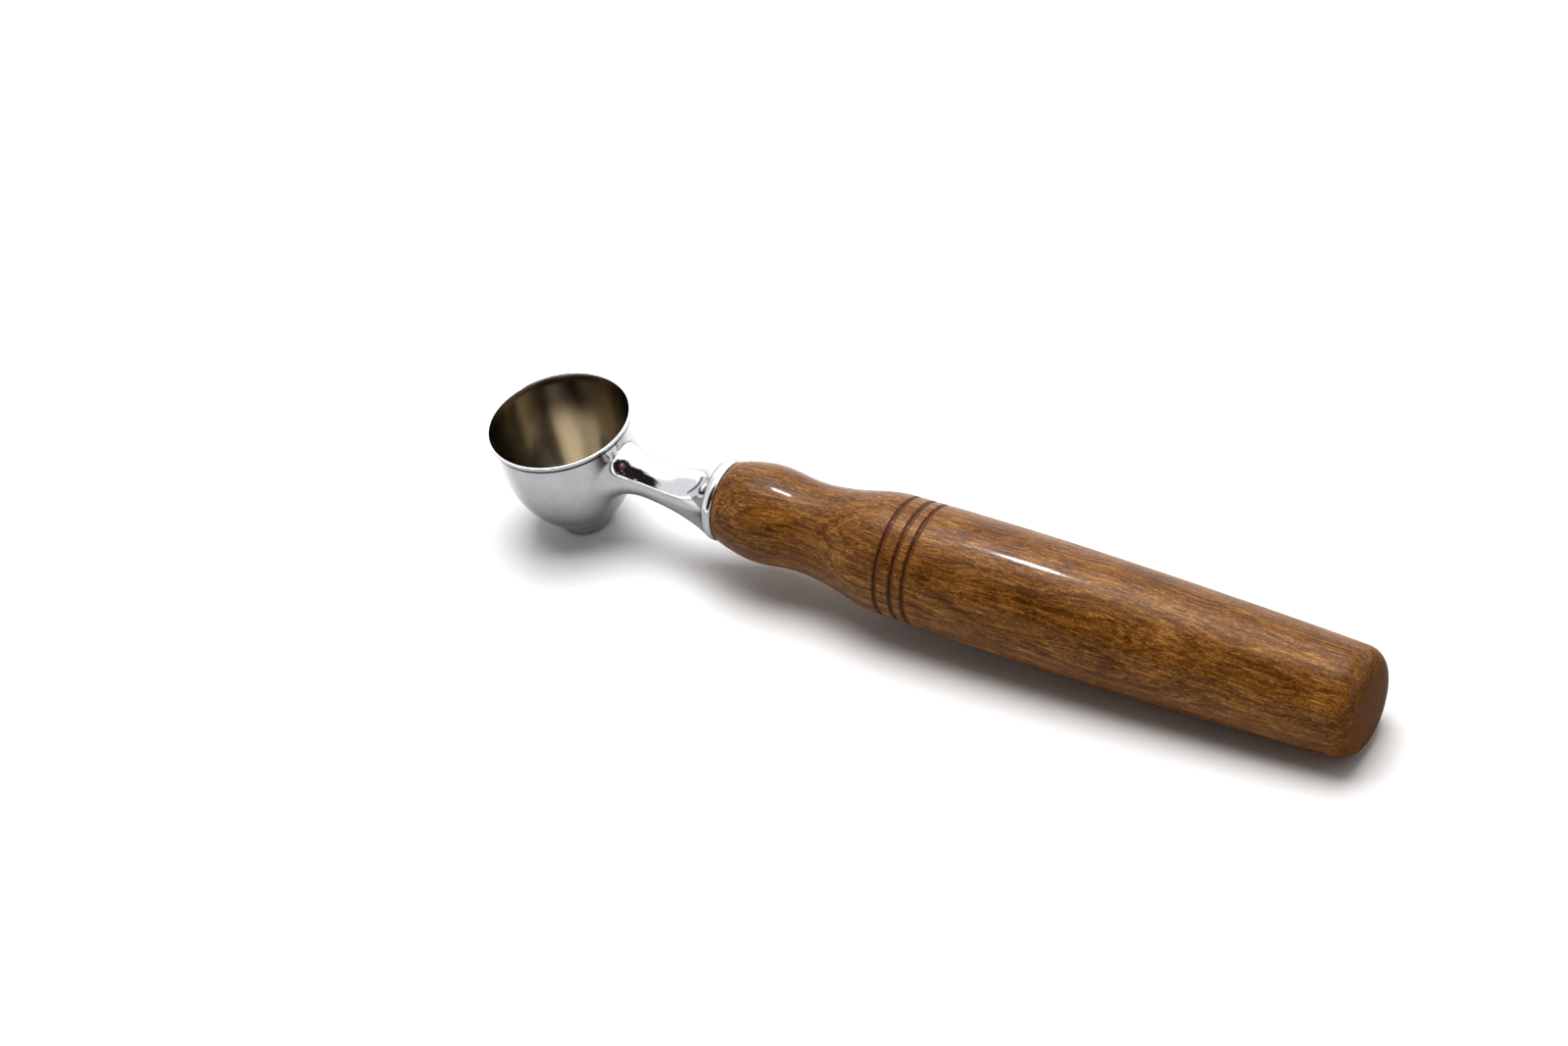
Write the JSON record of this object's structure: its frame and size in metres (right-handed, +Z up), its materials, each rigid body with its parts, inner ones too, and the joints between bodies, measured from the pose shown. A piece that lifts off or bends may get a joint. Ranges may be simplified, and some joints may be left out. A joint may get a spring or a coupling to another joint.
{
  "type": "coffee scoop",
  "caption": "Coffee scoop: plated cup-shaped bowl on a short flared stem, screwed through a collar ring into a turned wooden handle with burnt ring grooves.",
  "frame": {"origin": "centre of the object's footprint, on the table it rests on", "axes": "+X from the bowl to the handle's butt, +Z up, the XZ plane is the plane of symmetry"},
  "size_m": [0.276, 0.0428, 0.0391],
  "materials": {
    "handle_wood": "turned figured hardwood under a gloss lacquer, with scorched ring grooves",
    "insert_brass": "machined",
    "polished_plating": "mirror-bright plating outside, satin inside the bowl",
    "stud_steel": "zinc-plated rolled thread"
  },
  "bodies": {
    "handle_body": {"handle": "handle_wood", "threaded_insert": "insert_brass"},
    "collar": {"collar_ring": "polished_plating"},
    "scoop": {"scoop_casting": "polished_plating", "threaded_stud": "stud_steel"}
  },
  "joints": [
    {"name": "collar_travel", "type": "slide", "parent": "handle_body", "child": "collar", "axis": [-0.9991, 0, 0.0431], "range_m": [0, 0.0127]},
    {"name": "scoop_turn", "type": "hinge", "parent": "collar", "child": "scoop", "pos_m": [-0.06281, 0, 0.02416], "axis": [-0.9991, 0, 0.0431], "range_deg": [0, 3240]}
  ],
  "couplings": [
    {"joint": "collar_travel", "follows": "scoop_turn", "m_per_rad": 0.00022458}
  ]
}
